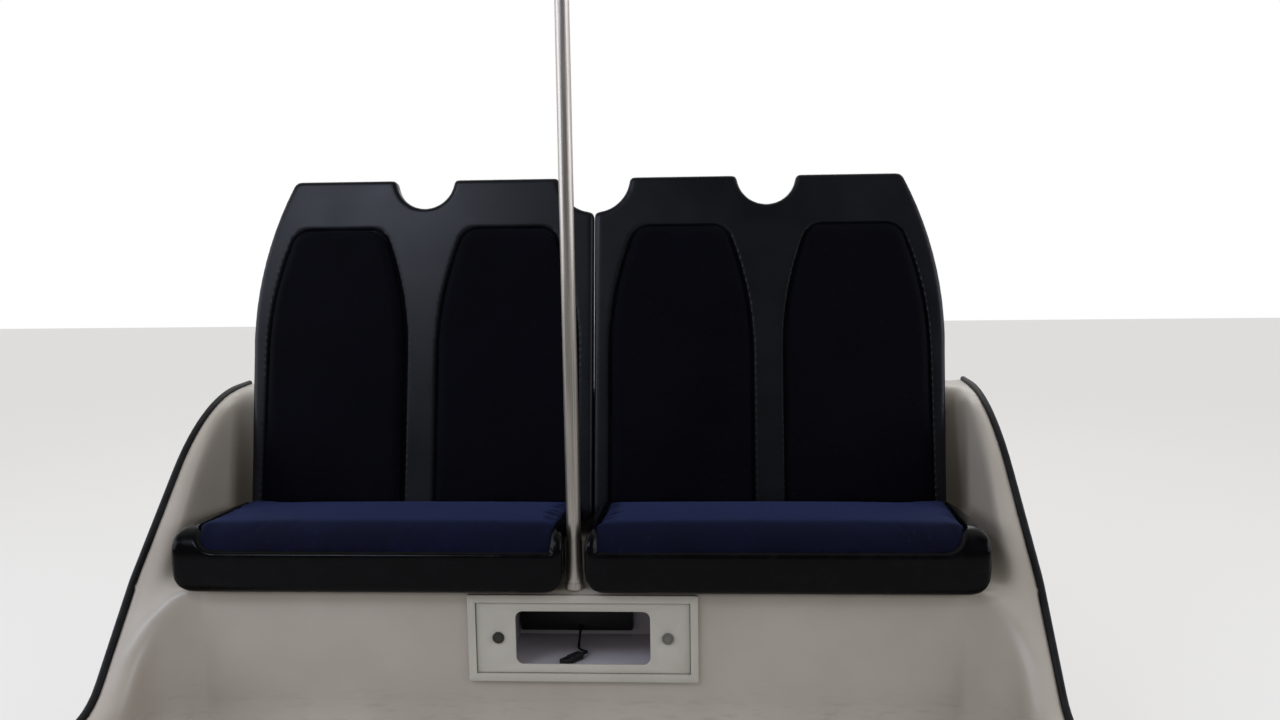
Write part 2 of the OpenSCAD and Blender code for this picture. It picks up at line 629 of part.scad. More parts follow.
// The pan's hollow below the lip, drawn in by g
module hollow(g) translate([centre_gap / 2 + inner_cheek + g, front_y + pan_t + g, deck_z + pan_t + g])
  cube([cushion_w - inner_cheek - outer_cheek - lip_turn_r - 2 * g, seat_d, pan_lip_h - pan_t + 1 - g]);

module pan_right() color("#26262a") difference() {
  intersection() {
    along_x(centre_gap / 2, pan_end) polygon(seat_side(deck_z));
    along_y(front_y - 1, pan_rear + 1) pan_front(centre_gap / 2, pan_end);
  }
  hollow(0);
  difference() {
    well(0);
    lip_turn(0);
  }
}

module cushion_right() color("#15183a") intersection() {
  along_x(centre_gap / 2, pan_end) polygon(seat_side(deck_z));
  union() {
    hollow(fit_gap);
    difference() {
      well(fit_gap);
      lip_turn(fit_gap);
    }
  }
}

// Places a backrest piece: local x along the bench, local y up the shell, local z forwards
module on_back() translate([0, front_y + seat_d, cushion_rear_z]) rotate([90 - recline, 0, 0]) children();

// Outline of a shell
function shell_line() =
  let (x0 = shell_gap / 2, x1 = x0 + shell_w, foot = -back_drop, foot_r = 24,
       side_c = [x1 - shoulder_r, shoulder_s],
       top_r = 22, top_y = back_h - top_r,
       side_a = asin((top_y - shoulder_s) / (shoulder_r - top_r)),
       top_c = side_c + (shoulder_r - top_r) * [cos(side_a), sin(side_a)],
       mid = [x0 + shell_w / 2, back_h], mid_f = sqrt(scoop_r * scoop_r + 2 * scoop_r * tip_r),
       mid_a = atan(tip_r / mid_f),
       end = [x0, back_h], end_f = sqrt(joint_scoop_r * joint_scoop_r + 2 * joint_scoop_r * tip_r),
       end_a = atan(tip_r / end_f))
  concat(
    [[x0 + shell_w / 2, foot]],
    arc([x1 - shell_flare - foot_r, foot + foot_r], foot_r, 270, 359, 5),
    arc(side_c, shoulder_r, 0, side_a, 10),
    arc(top_c, top_r, side_a + 12, 90, 5),
    arc(mid + [mid_f, -tip_r], tip_r, 90, 180 - mid_a, 5),
    arc(mid, scoop_r, -mid_a - 5, -175 + mid_a, 16),
    arc(mid + [-mid_f, -tip_r], tip_r, mid_a, 90, 5),
    arc(end + [end_f, -tip_r], tip_r, 90, 180 - end_a, 5),
    arc(end, joint_scoop_r, -end_a - 5, -85 + end_a, 8),
    arc(end + [tip_r, -end_f], tip_r, 90 + end_a, 180, 5),
    arc([x0 + foot_r, foot + foot_r], foot_r, 180, 270, 5));

// Outline of a back pad, with its middle at x = 0
pad_foot = -24;
function pad_half() =
  let (w = pad_w / 2, foot_r = 24, top = back_h - pad_top_drop, top_y = top - pad_corner_r,
       side_a = asin((top_y - pad_side_s) / (pad_side_r - pad_corner_r)),
       side_c = [w - pad_side_r, pad_side_s],
       top_c = side_c + (pad_side_r - pad_corner_r) * [cos(side_a), sin(side_a)])
  concat(
    arc([w - foot_r, pad_foot + foot_r], foot_r, 270, 360, 5),
    arc(side_c, pad_side_r, 0, side_a, 8),
    arc(top_c, pad_corner_r, side_a + 9, 90, 7));
function pad_line() = let (h = pad_half(), n = len(h))
  concat([[0, pad_foot]], h, [for (i = [0:n - 1]) [-h[n - 1 - i][0], h[n - 1 - i][1]]]);
function pad_x(side) = shell_gap / 2
  + (side == 0 ? pad_margin + pad_w / 2 : shell_w - pad_margin - pad_w / 2);

module back_shell_right() color("#23262d") on_back() difference() {
  soft_plate(shell_line(), shell_t, edge_r, edge_r);
  for (side = [0, 1])
    translate([pad_x(side), 0, -pocket_d]) linear_extrude(far) polygon(inset(pad_line(), -1));
}

module back_pad_right(side) color("#0d0f24") on_back()
  translate([pad_x(side), 0, pad_proud])
    soft_plate(pad_line(), pad_proud + pocket_d - fit_gap, pad_proud - 3, 2);

// Where the back of a shell passes the sill's height, and the deck's
bracket_xs = [for (side = [-1, 1], x = [shell_gap / 2 + bracket_inset, shell_end - bracket_inset]) side * x];
function shell_back(s) = [front_y + seat_d + s * sin(recline) + shell_t * cos(recline),
                          cushion_rear_z + s * cos(recline) - shell_t * sin(recline)];
function shell_s(z) = (z - cushion_rear_z + shell_t * sin(recline)) / cos(recline);
foot_l = 34;
module deck_brackets() color("dimgray")
  for (x = bracket_xs) along_x(x - bracket_w / 2, x + bracket_w / 2) {
    s = shell_s(deck_z + bracket_t * 0.6);
    translate(shell_back(s)) rotate(-recline) square([bracket_t, 190]);
    translate([shell_back(s)[0] + 1.2, deck_z]) square([foot_l, bracket_t]);
  }

module sill_brackets() color("dimgray")
  for (x = bracket_xs) along_x(x - bracket_w / 2, x + bracket_w / 2) {
    s = shell_s(sill_z + bracket_t * 0.6);
    translate(shell_back(s)) rotate(-recline) square([bracket_t, 90]);
    translate([shell_back(s)[0] + 1.2, sill_z]) square([back_y + 110 - shell_back(s)[0], bracket_t]);
  }

plinth_h = 14;
module grab_pole() color("silver") translate([pole_side, pole_y, 0]) difference() {
  translate([0, 0, deck_z + plinth_h]) cylinder(d = pole_d, h = ceiling_z - deck_z - plinth_h - 6);
  translate([0, 0, deck_z + plinth_h - 1]) cylinder(d = pole_d - 2 * pole_wall, h = ceiling_z - deck_z);
}

// The boot round the pole's foot, on its plinth between the pans
module pole_foot() color("gainsboro") translate([pole_side, pole_y, deck_z]) {
  cylinder(r1 = pole_d / 2 + 5, r2 = pole_d / 2 + 4, h = plinth_h);
  difference() {
    translate([0, 0, plinth_h]) cylinder(r1 = pole_d / 2 + 3, r2 = pole_d / 2 + 1, h = boot_h);
    translate([0, 0, plinth_h]) cylinder(r = pole_d / 2 + fit_gap, h = boot_h + 1);
  }
}

module pole_head() color("silver") translate([pole_side, pole_y, ceiling_z - 6]) difference() {
  cylinder(r = head_r, h = 6);
  for (a = [45:90:315])
    rotate(a) translate([head_hole_pitch / 2, 0, -1]) cylinder(r = 3.3, h = 8);
}

front_wall();
left() corner_right();  // corner_left
corner_right();
seat_deck();
back_wall();
left() wing_right();  // wing_left
wing_right();
left() seal_right();  // seal_left
seal_right();
bulkheads();
floor_rails();
recess_box();
hatch_frame();
hatch_cover();
hatch_locks();
cable_box();
lead();
lead_plug();
left() pan_right();  // pan_left
pan_right();
left() cushion_right();  // cushion_left
cushion_right();
left() back_shell_right();  // back_shell_left
back_shell_right();
left() back_pad_right(1);  // back_pad_1
left() back_pad_right(0);  // back_pad_2
back_pad_right(0);  // back_pad_3
back_pad_right(1);  // back_pad_4
deck_brackets();
sill_brackets();
grab_pole();
pole_foot();
pole_head();
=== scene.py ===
import math

import bmesh
import bpy
import numpy as np
from mathutils import Matrix, Vector, noise
from mathutils.bvhtree import BVHTree
from mathutils.kdtree import KDTree


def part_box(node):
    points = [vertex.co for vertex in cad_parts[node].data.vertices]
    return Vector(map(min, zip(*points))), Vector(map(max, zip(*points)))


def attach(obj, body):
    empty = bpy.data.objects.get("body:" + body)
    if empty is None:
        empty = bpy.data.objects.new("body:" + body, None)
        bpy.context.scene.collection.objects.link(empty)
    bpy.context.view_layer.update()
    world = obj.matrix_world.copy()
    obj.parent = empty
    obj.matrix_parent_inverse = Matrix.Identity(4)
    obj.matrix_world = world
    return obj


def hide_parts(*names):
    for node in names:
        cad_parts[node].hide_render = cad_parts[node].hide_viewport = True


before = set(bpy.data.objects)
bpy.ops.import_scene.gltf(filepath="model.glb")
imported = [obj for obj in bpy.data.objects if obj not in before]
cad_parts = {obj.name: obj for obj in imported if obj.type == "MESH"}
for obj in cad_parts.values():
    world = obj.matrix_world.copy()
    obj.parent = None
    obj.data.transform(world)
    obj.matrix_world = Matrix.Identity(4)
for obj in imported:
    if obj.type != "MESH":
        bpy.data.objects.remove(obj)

scene = bpy.context.scene
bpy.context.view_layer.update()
MM = 0.001


def linear(hex_colour):
    """An sRGB hex colour as linear red, green, blue and alpha."""
    channels = [int(hex_colour[i:i + 2], 16) / 255 for i in (1, 3, 5)]
    return tuple(c / 12.92 if c < 0.04045 else ((c + 0.055) / 1.055) ** 2.4 for c in channels) + (1.0,)


# Camera, at the photograph's viewing angle
CAMERA_PLACE = (0.2739, -2.4799, 1.1431)
CAMERA_LENS = 32.215
CAMERA_SENSOR = 36.0
# Degrees to the left of straight ahead, below level, and rolled
CAMERA_LEFT = 3.2835
CAMERA_DOWN = 7.5122
CAMERA_ROLL = -0.8289


def set_camera():
    data = bpy.data.cameras.new("camera")
    data.lens = CAMERA_LENS
    data.sensor_width = CAMERA_SENSOR
    made = bpy.data.objects.new("camera", data)
    made.matrix_world = (
        Matrix.Translation(CAMERA_PLACE)
        @ Matrix.Rotation(math.radians(CAMERA_LEFT), 4, "Z")
        @ Matrix.Rotation(math.radians(90 - CAMERA_DOWN), 4, "X")
        @ Matrix.Rotation(math.radians(CAMERA_ROLL), 4, "Z")
    )
    scene.collection.objects.link(made)
    scene.camera = made


set_camera()


# Pieces and their meshes
def in_scene(name, mesh, body="bench", stands_for=()):
    """A new piece of the object, riding on its body."""
    piece = bpy.data.objects.new(name, mesh)
    scene.collection.objects.link(piece)
    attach(piece, body)
    if stands_for:
        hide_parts(*stands_for)
    return piece


def scratch(name, mesh):
    """An object that only serves to work out a mesh, or the floor."""
    made = bpy.data.objects.new(name, mesh)
    scene.collection.objects.link(made)
    return made


def drop(piece):
    mesh = piece.data
    bpy.data.objects.remove(piece)
    if mesh.users == 0:
        bpy.data.meshes.remove(mesh)


def shade_smooth(mesh, smooth=True):
    mesh.polygons.foreach_set("use_smooth", [smooth] * len(mesh.polygons))


def mesh_of(name, points, faces, smooth=True):
    mesh = bpy.data.meshes.new(name)
    mesh.from_pydata([tuple(p) for p in points], [], faces)
    mesh.validate()
    shade_smooth(mesh, smooth)
    mesh.update()
    return mesh


def ring_faces(rings, per):
    """The faces of a closed form through rings of points, so many per ring."""
    faces = []
    for i in range(rings - 1):
        for k in range(per):
            a, b = i * per + k, i * per + (k + 1) % per
            faces.append((a, b, b + per, a + per))
    faces.append(tuple(range(per - 1, -1, -1)))
    faces.append(tuple((rings - 1) * per + k for k in range(per)))
    return faces


def turned_mesh(name, outline, origin, axis, sides=32):
    """A turned piece: outline holds (radius, distance along the axis), from one end to the other."""
    axis = Vector(axis).normalized()
    side = axis.orthogonal().normalized()
    other = axis.cross(side)
    points = []
    for radius, along in outline:
        for k in range(sides):
            angle = 2 * math.pi * k / sides
            outward = math.cos(angle) * side + math.sin(angle) * other
            points.append(Vector(origin) + along * axis + radius * outward)
    return mesh_of(name, points, ring_faces(len(outline), sides))


def evaluated(piece):
    """The piece's mesh with its modifiers worked in."""
    bpy.context.view_layer.update()
    graph = bpy.context.evaluated_depsgraph_get()
    return bpy.data.meshes.new_from_object(piece.evaluated_get(graph))


def rounded(piece, width, segments=3, angle=35):
    """Rounds the edges that turn by more than the angle, and keeps the flats flat."""
    bevel = piece.modifiers.new("edges", "BEVEL")
    bevel.width = width
    bevel.segments = segments
    bevel.limit_method = "ANGLE"
    bevel.angle_limit = math.radians(angle)
    bevel.harden_normals = True
    shade_smooth(piece.data)


def lighter(piece, share):
    """Keeps this share of the faces, the fewest where the surface is flat."""
    thinned = piece.modifiers.new("lighter", "DECIMATE")
    thinned.ratio = share


def per_vertex(mesh, attribute):
    flat = np.zeros(len(mesh.vertices) * 3)
    mesh.vertices.foreach_get(attribute, flat)
    return flat.reshape(-1, 3)


def coordinates(mesh):
    return per_vertex(mesh, "co")


def normals(mesh):
    return per_vertex(mesh, "normal")


def moved_to(mesh, places):
    """The mesh with its points at the given places."""
    mesh.vertices.foreach_set("co", places.ravel())
    mesh.update()
    return mesh


# Lead, from the black box to its plug on the recess floor. The route's points are millimetres
# across, forwards of the box and above the floor, as in the CAD source.
LEAD_ROUTE = [
    (-24, 0, 25.5), (-24, 5.7, 25.5), (-24, 11.3, 25.3), (-24, 17, 24.1), (-24, 22.7, 22.2),
    (-24, 28.3, 19.6), (-24, 34, 16.6), (-24, 39.7, 13.4), (-24, 45.3, 10.3), (-24, 51, 7.6),
    (-24, 56.7, 5.3), (-23.7, 62.3, 3.8), (-22.7, 67.8, 3.2), (-20.7, 73.1, 3.2), (-17.8, 77.8, 3.2),
    (-14, 82, 3.2), (-9.7, 85.6, 3.6), (-5.5, 89.4, 4.5), (-2.5, 93.9, 5.6), (-1.1, 99.2, 6.7),
    (-1.6, 104.7, 7.6), (-3.7, 109.8, 8.2), (-7.2, 114, 8.3),
]
LEAD_D = 5 * MM
CABLE_BOX_D = 26 * MM
RECESS_RIM = 5 * MM
hatch_low, hatch_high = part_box("hatch_frame")
hatch_x = (hatch_low.x + hatch_high.x) / 2
box_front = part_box("cable_box")[1].y - CABLE_BOX_D
recess_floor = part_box("recess_box")[0].z + RECESS_RIM
lead_points = [
    Vector((hatch_x + across * MM, box_front - forward * MM, recess_floor + up * MM))
    for across, forward, up in LEAD_ROUTE
]


def lead_sheath():
    """The lead as a round tube along its route."""
    curve = bpy.data.curves.new("lead_sheath", "CURVE")
    curve.dimensions = "3D"
    curve.bevel_depth = LEAD_D / 2
    curve.bevel_resolution = 5
    curve.resolution_u = 4
    curve.use_fill_caps = True
    spline = curve.splines.new("NURBS")
    spline.points.add(len(lead_points) - 1)
    for point, place in zip(spline.points, lead_points):
        point.co = (*place, 1.0)
    spline.use_endpoint_u = True
    spline.order_u = 3
    line = scratch("lead_line", curve)
    mesh = evaluated(line)
    bpy.data.objects.remove(line)
    mesh.name = "lead_sheath"
    return in_scene("lead_sheath", mesh, stands_for=["lead"])


# Plug, in millimetres
PLUG_HALF_W = 10.0
PLUG_HALF_H = 8.0
PLUG_L = 64.0
PLUG_LIFT = 0.3
SLEEVE_L = 8.0
GRIP_START = 11.0
RIBS = 6
RIB_PITCH = 4.0
RIB_L = 2.2
COLLAR_START, COLLAR_END = 36.0, 41.0
# Points round a section, and how square a section is, where 2 is an ellipse
PLUG_POINTS = 24
SLEEVE_SQUARENESS = 2.2
GRIP_SQUARENESS = 5


def plug_sections():
    """Distance along, half width and half height of the sleeve, ribbed grip, collar and contact block."""
    w, h = PLUG_HALF_W, PLUG_HALF_H
    sleeve = [(0.3, 3.5, 3.5), (3, 4, 4), (SLEEVE_L - 0.6, 4.9, 4.9)]
    shoulder = [(SLEEVE_L, 0.75 * w, 0.8 * h), (SLEEVE_L + 1, 0.9 * w, 0.93 * h)]
    grip = []
    for rib in range(RIBS):
        at = GRIP_START + rib * RIB_PITCH
        grip += [(at, w, h), (at + RIB_L, w, h)]
        grip += [(at + RIB_L + 0.4, w - 0.8, h - 0.7), (at + RIB_PITCH - 0.4, w - 0.8, h - 0.7)]
    collar = [(COLLAR_START, w, h), (COLLAR_END, w, h)]
    block = [(COLLAR_END + 1, w - 1.2, h - 1.8), (PLUG_L - 1, w - 1.2, h - 1.8), (PLUG_L, w - 1.8, h - 2.4)]
    return sleeve + shoulder + grip + collar + block


def plug_mesh():
    """The plug lies on the recess floor and points the way that the lead ends."""
    sections = plug_sections()
    points = []
    for at, half_w, half_h in sections:
        power = 2 / (SLEEVE_SQUARENESS if at < SLEEVE_L else GRIP_SQUARENESS)
        for k in range(PLUG_POINTS):
            c, s = math.cos(2 * math.pi * k / PLUG_POINTS), math.sin(2 * math.pi * k / PLUG_POINTS)
            across = math.copysign(abs(c) ** power, c) * half_w
            up = math.copysign(abs(s) ** power, s) * half_h
            points.append(MM * Vector((at, across, up)))
    mesh = mesh_of("plug_body", points, ring_faces(len(sections), PLUG_POINTS))
    end, way = lead_points[-1], lead_points[-1] - lead_points[-2]
    mesh.transform(
        Matrix.Translation((end.x, end.y, recess_floor + (PLUG_LIFT + PLUG_HALF_H) * MM))
        @ Matrix.Rotation(math.atan2(way.y, way.x), 4, "Z"))
    return mesh


lead = lead_sheath()
plug = in_scene("plug_body", plug_mesh(), stands_for=["lead_plug"])
rounded(plug, 0.4 * MM, 2)


# Materials
def fill(node, inputs):
    """Sets a node's inputs to values, or links them from another node's output."""
    for name, value in inputs.items():
        if isinstance(value, bpy.types.NodeSocket):
            node.id_data.links.new(value, node.inputs[name])
        else:
            node.inputs[name].default_value = value


def add(holder, kind, inputs=None, stops=(), **settings):
    """Adds a node to a material or world, with its settings, (position, hex) colour stops and inputs."""
    made = holder.node_tree.nodes.new(kind)
    for name, value in settings.items():
        setattr(made, name, value)
    if stops:
        for stop, (position, colour) in zip(made.color_ramp.elements, stops):
            stop.position = position
            stop.color = linear(colour)
    fill(made, inputs or {})
    return made


def per_metre(mm):
    """The scale of a pattern whose cells are this many millimetres apart."""
    return 1000.0 / mm


def bands_per_metre(mm):
    """The scale of a wave pattern whose bands are this many millimetres apart."""
    return math.pi / 10 * per_metre(mm)


def finish_named(name, colour, roughness, held=None):
    """A material with its Principled shader, which holds what is the same all over."""
    material = bpy.data.materials.new(name)
    material.use_nodes = True
    shader = material.node_tree.nodes["Principled BSDF"]
    fill(shader, {"Base Color": linear(colour), "Roughness": roughness, **(held or {})})
    material.diffuse_color = linear(colour)
    return material, shader


def gelcoat_on_glass_fibre():
    # Sprayed gelcoat on hand-laid glass fibre: an even warm off-white with a soft sheen. The eye
    # gets faint waves of the laminate, a light orange peel, and grey scuffs close to the floor.
    m, shader = finish_named("gelcoat_on_glass_fibre", "#a19a93", 0.36, {"IOR": 1.5})
    place = add(m, "ShaderNodeNewGeometry").outputs["Position"]
    drift = add(m, "ShaderNodeTexNoise", {
        "Vector": place, "Scale": per_metre(250), "Detail": 3.0}).outputs["Fac"]
    tone = add(m, "ShaderNodeValToRGB", {"Fac": drift}, stops=[(0.3, "#989085"), (0.7, "#a39b90")])
    # scuffs about 56 mm long and 11 mm high, only in the lowest 160 mm
    height = add(m, "ShaderNodeSeparateXYZ", {"Vector": place}).outputs["Z"]
    low = add(m, "ShaderNodeMapRange", {
        "Value": height, "From Min": 160 * MM, "From Max": 0.0, "To Min": 0.0, "To Max": 0.55})
    flat = add(m, "ShaderNodeMapping", {
        "Vector": place, "Scale": (per_metre(55.6), per_metre(55.6), per_metre(11.1))})
    marks = add(m, "ShaderNodeTexNoise", {
        "Vector": flat.outputs["Vector"], "Scale": 1.0, "Detail": 6.0, "Roughness": 0.7})
    scuffed = add(m, "ShaderNodeMapRange", {
        "Value": marks.outputs["Fac"], "From Min": 0.52, "From Max": 0.72})
    worn = add(m, "ShaderNodeMath", {
        0: low.outputs["Result"], 1: scuffed.outputs["Result"]}, operation="MULTIPLY")
    mixed = add(m, "ShaderNodeMix", {
        "Factor": worn.outputs["Value"],
        "A": tone.outputs["Color"], "B": linear("#5f5a53")}, data_type="RGBA")
    gloss = add(m, "ShaderNodeMapRange", {"Value": drift, "To Min": 0.3, "To Max": 0.44})
    # laminate waves of 62 mm under an orange peel of 3 mm
    waves = add(m, "ShaderNodeTexNoise", {"Vector": place, "Scale": per_metre(62.5), "Detail": 1.0})
    peel = add(m, "ShaderNodeTexNoise", {"Vector": place, "Scale": per_metre(3.03), "Detail": 1.0})
    soft = add(m, "ShaderNodeBump", {
        "Height": waves.outputs["Fac"], "Strength": 0.25, "Distance": 1.2 * MM})
    fine = add(m, "ShaderNodeBump", {
        "Height": peel.outputs["Fac"], "Strength": 0.15, "Distance": 0.2 * MM,
        "Normal": soft.outputs["Normal"]})
    fill(shader, {
        "Base Color": mixed.outputs["Result"], "Roughness": gloss.outputs["Result"],
        "Normal": fine.outputs["Normal"]})
    return m


def powder_coat(name, colour, light, roughness):
    # Baked powder on sheet steel: one colour with a pebbled skin that breaks up the highlight.
    m, shader = finish_named(name, colour, roughness, {"IOR": 1.5})
    place = add(m, "ShaderNodeNewGeometry").outputs["Position"]
    drift = add(m, "ShaderNodeTexNoise", {
        "Vector": place, "Scale": per_metre(111), "Detail": 4.0}).outputs["Fac"]
    tone = add(m, "ShaderNodeValToRGB", {"Fac": drift}, stops=[(0.3, colour), (0.75, light)])
    # pebbles of 1.5 mm, about twice the real ones so that they show
    pebbles = add(m, "ShaderNodeTexVoronoi", {"Vector": place, "Scale": per_metre(1.54)}, feature="SMOOTH_F1")
    bump = add(m, "ShaderNodeBump", {
        "Height": pebbles.outputs["Distance"], "Strength": 0.12, "Distance": 0.3 * MM})
    fill(shader, {"Base Color": tone.outputs["Color"], "Normal": bump.outputs["Normal"]})
    return m


def moulded_abs(name, colour, light, roughness, grain_mm, depth, specular=0.35):
    # Injection-moulded ABS or polypropylene: an even colour, with the tool's spark-eroded grain.
    m, shader = finish_named(name, colour, roughness, {"IOR": 1.5, "Specular IOR Level": specular})
    place = add(m, "ShaderNodeNewGeometry").outputs["Position"]
    drift = add(m, "ShaderNodeTexNoise", {
        "Vector": place, "Scale": per_metre(143), "Detail": 5.0}).outputs["Fac"]
    tone = add(m, "ShaderNodeValToRGB", {"Fac": drift}, stops=[(0.35, colour), (0.7, light)])
    gloss = add(m, "ShaderNodeMapRange", {
        "Value": drift, "To Min": roughness * 0.8, "To Max": roughness * 1.25})
    grain = add(m, "ShaderNodeTexVoronoi", {
        "Vector": place, "Scale": per_metre(grain_mm)}, feature="SMOOTH_F1")
    bump = add(m, "ShaderNodeBump", {
        "Height": grain.outputs["Distance"], "Strength": depth, "Distance": 0.3 * MM})
    fill(shader, {
        "Base Color": tone.outputs["Color"], "Roughness": gloss.outputs["Result"],
        "Normal": bump.outputs["Normal"]})
    return m


def polished_black_abs():
    # Polished tool, black ABS: deep black with a sharp highlight, hairline scratches and a film of dust.
    m, shader = finish_named(
        "polished_black_abs", "#040405", 0.2, {"IOR": 1.53, "Specular IOR Level": 0.08})
    place = add(m, "ShaderNodeNewGeometry").outputs["Position"]
    dust = add(m, "ShaderNodeTexNoise", {
        "Vector": place, "Scale": per_metre(33.3), "Detail": 8.0, "Roughness": 0.7}).outputs["Fac"]
    tone = add(m, "ShaderNodeValToRGB", {"Fac": dust}, stops=[(0.45, "#030304"), (0.8, "#0a0a0c")])
    gloss = add(m, "ShaderNodeMapRange", {
        "Value": dust, "From Min": 0.35, "From Max": 0.75, "To Min": 0.14, "To Max": 0.34})
    # scratches 40 mm long and 1 mm apart
    hair = add(m, "ShaderNodeMapping", {
        "Vector": place, "Scale": (per_metre(40), per_metre(3.33), per_metre(1.11))})
    scratches = add(m, "ShaderNodeTexNoise", {"Vector": hair.outputs["Vector"], "Scale": 1.0, "Detail": 2.0})
    bump = add(m, "ShaderNodeBump", {
        "Height": scratches.outputs["Fac"], "Strength": 0.06, "Distance": 0.2 * MM})
    fill(shader, {
        "Base Color": tone.outputs["Color"], "Roughness": gloss.outputs["Result"],
        "Normal": bump.outputs["Normal"]})
    return m


def woven_moquette(name, ground, thread, fleck, sheen):
    # Short-pile moquette: near-black navy wool with a soft bloom at grazing angles. The eye gets
    # rows of pile, slightly lighter threads, and sparse dull flecks.
    m, shader = finish_named(name, ground, 0.85, {
        "IOR": 1.45, "Specular IOR Level": 0.08,
        "Sheen Weight": sheen, "Sheen Roughness": 0.45, "Sheen Tint": linear("#4a588c")})
    place = add(m, "ShaderNodeNewGeometry").outputs["Position"]
    # pile tufts are 1.2 mm apart on the real cloth and are drawn 2.2 mm apart to show
    tufts = add(m, "ShaderNodeTexVoronoi", {
        "Vector": place, "Scale": per_metre(2.22), "Randomness": 0.55}, feature="F1").outputs["Distance"]
    rows = add(m, "ShaderNodeTexWave", {
        "Vector": place, "Scale": bands_per_metre(4.49), "Distortion": 0.6, "Detail": 1.0},
        bands_direction="X")
    wear = add(m, "ShaderNodeTexNoise", {"Vector": place, "Scale": per_metre(167), "Detail": 4.0})
    tone = add(m, "ShaderNodeMath", {0: tufts, 1: wear.outputs["Fac"]}, operation="MULTIPLY")
    threads = add(m, "ShaderNodeValToRGB", {
        "Fac": tone.outputs["Value"]}, stops=[(0.1, ground), (0.42, thread)])
    # flecks about 7 mm across, in one of ten cells of 14 mm
    cells = add(m, "ShaderNodeTexVoronoi", {
        "Vector": place, "Scale": per_metre(14.3), "Randomness": 0.9}, feature="F1")
    pick = add(m, "ShaderNodeSeparateColor", {"Color": cells.outputs["Color"]})
    chosen = add(m, "ShaderNodeMath", {0: pick.outputs["Red"], 1: 0.9}, operation="GREATER_THAN")
    close = add(m, "ShaderNodeMapRange", {
        "Value": cells.outputs["Distance"], "From Min": 0.3, "From Max": 0.18})
    spot = add(m, "ShaderNodeMath", {
        0: chosen.outputs["Value"], 1: close.outputs["Result"]}, operation="MULTIPLY")
    mixed = add(m, "ShaderNodeMix", {
        "Factor": spot.outputs["Value"], "A": threads.outputs["Color"], "B": linear(fleck)}, data_type="RGBA")
    pile = add(m, "ShaderNodeBump", {"Height": tufts, "Strength": 0.5, "Distance": 0.8 * MM}, invert=True)
    ribs = add(m, "ShaderNodeBump", {
        "Height": rows.outputs["Fac"], "Strength": 0.15, "Distance": 0.5 * MM,
        "Normal": pile.outputs["Normal"]})
    fill(shader, {"Base Color": mixed.outputs["Result"], "Normal": ribs.outputs["Normal"]})
    return m


def extruded_rubber():
    # Extruded EPDM edging: dead black, finely pitted, with grey dust.
    m, shader = finish_named(
        "extruded_epdm_rubber", "#0b0b0c", 0.6, {"IOR": 1.52, "Specular IOR Level": 0.2})
    place = add(m, "ShaderNodeNewGeometry").outputs["Position"]
    dust = add(m, "ShaderNodeTexNoise", {"Vector": place, "Scale": per_metre(22.2), "Detail": 6.0})
    tone = add(m, "ShaderNodeValToRGB", {
        "Fac": dust.outputs["Fac"]}, stops=[(0.4, "#08080a"), (0.8, "#161616")])
    pits = add(m, "ShaderNodeTexNoise", {"Vector": place, "Scale": per_metre(1.67), "Detail": 1.0})
    bump = add(m, "ShaderNodeBump", {"Height": pits.outputs["Fac"], "Strength": 0.2, "Distance": 0.2 * MM})
    fill(shader, {"Base Color": tone.outputs["Color"], "Normal": bump.outputs["Normal"]})
    return m


def brushed_stainless():
    # Stainless tube brushed along its length: satin grey with streaks that run up the tube.
    m, shader = finish_named(
        "brushed_stainless_tube", "#a09b93", 0.34, {"Metallic": 1.0, "Anisotropic": 0.5})
    place = add(m, "ShaderNodeNewGeometry").outputs["Position"]
    # brush lines 0.4 mm wide on the real tube, drawn 2 mm wide and 250 mm long
    along = add(m, "ShaderNodeMapping", {
        "Vector": place, "Scale": (per_metre(2), per_metre(2), per_metre(250))})
    lines = add(m, "ShaderNodeTexNoise", {
        "Vector": along.outputs["Vector"], "Scale": 1.0, "Detail": 4.0}).outputs["Fac"]
    tone = add(m, "ShaderNodeValToRGB", {"Fac": lines}, stops=[(0.3, "#857f77"), (0.7, "#bab4ab")])
    gloss = add(m, "ShaderNodeMapRange", {"Value": lines, "To Min": 0.26, "To Max": 0.46})
    bump = add(m, "ShaderNodeBump", {"Height": lines, "Strength": 0.1, "Distance": 0.2 * MM})
    fill(shader, {
        "Base Color": tone.outputs["Color"], "Roughness": gloss.outputs["Result"],
        "Normal": bump.outputs["Normal"]})
    return m


def extruded_aluminium():
    # Mill-finish aluminium section: pale metal with fine drawing lines along the bench.
    m, shader = finish_named("extruded_aluminium", "#b9babc", 0.4, {"Metallic": 1.0})
    place = add(m, "ShaderNodeNewGeometry").outputs["Position"]
    along = add(m, "ShaderNodeMapping", {
        "Vector": place, "Scale": (per_metre(200), per_metre(1.43), per_metre(1.43))})
    lines = add(m, "ShaderNodeTexNoise", {
        "Vector": along.outputs["Vector"], "Scale": 1.0, "Detail": 3.0}).outputs["Fac"]
    tone = add(m, "ShaderNodeValToRGB", {"Fac": lines}, stops=[(0.3, "#a2a3a6"), (0.7, "#c8c9ca")])
    gloss = add(m, "ShaderNodeMapRange", {"Value": lines, "To Min": 0.32, "To Max": 0.5})
    fill(shader, {"Base Color": tone.outputs["Color"], "Roughness": gloss.outputs["Result"]})
    return m


